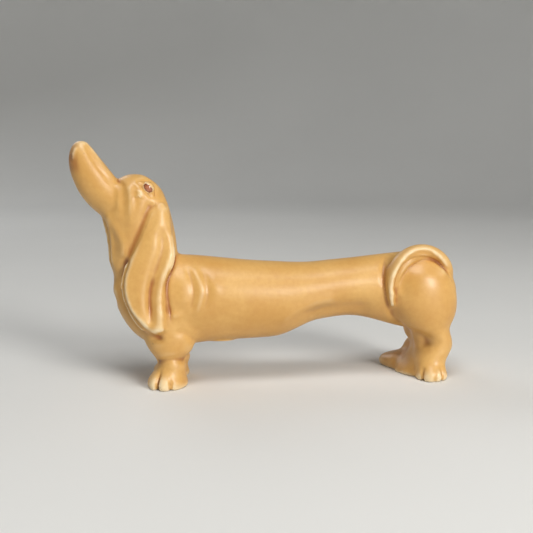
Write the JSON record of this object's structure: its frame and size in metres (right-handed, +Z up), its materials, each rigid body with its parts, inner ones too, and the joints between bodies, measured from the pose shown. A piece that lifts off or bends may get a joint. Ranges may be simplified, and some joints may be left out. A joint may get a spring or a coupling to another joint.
{
  "type": "dachshund figurine",
  "caption": "Glazed ceramic dachshund standing with its nose raised, long drooping ears and a tail curled over one haunch.",
  "frame": {"origin": "on the floor, under the middle of the bounding box", "axes": "+Z up; the nose points towards -X and the tail towards +X; the dog's left side faces -Y"},
  "size_m": [0.1931, 0.0461, 0.1186],
  "materials": {
    "glaze": "satin butterscotch glaze",
    "eye_glaze": "glossy red-brown glaze"
  },
  "bodies": {
    "root": {"trunk": "glaze", "head_and_neck": "glaze", "ear_left": "glaze", "ear_right": "glaze", "eye_left": "eye_glaze", "eye_right": "eye_glaze", "front_leg_left": "glaze", "front_leg_right": "glaze", "hind_leg_left": "glaze", "hind_leg_right": "glaze", "tail": "glaze"}
  },
  "joints": []
}
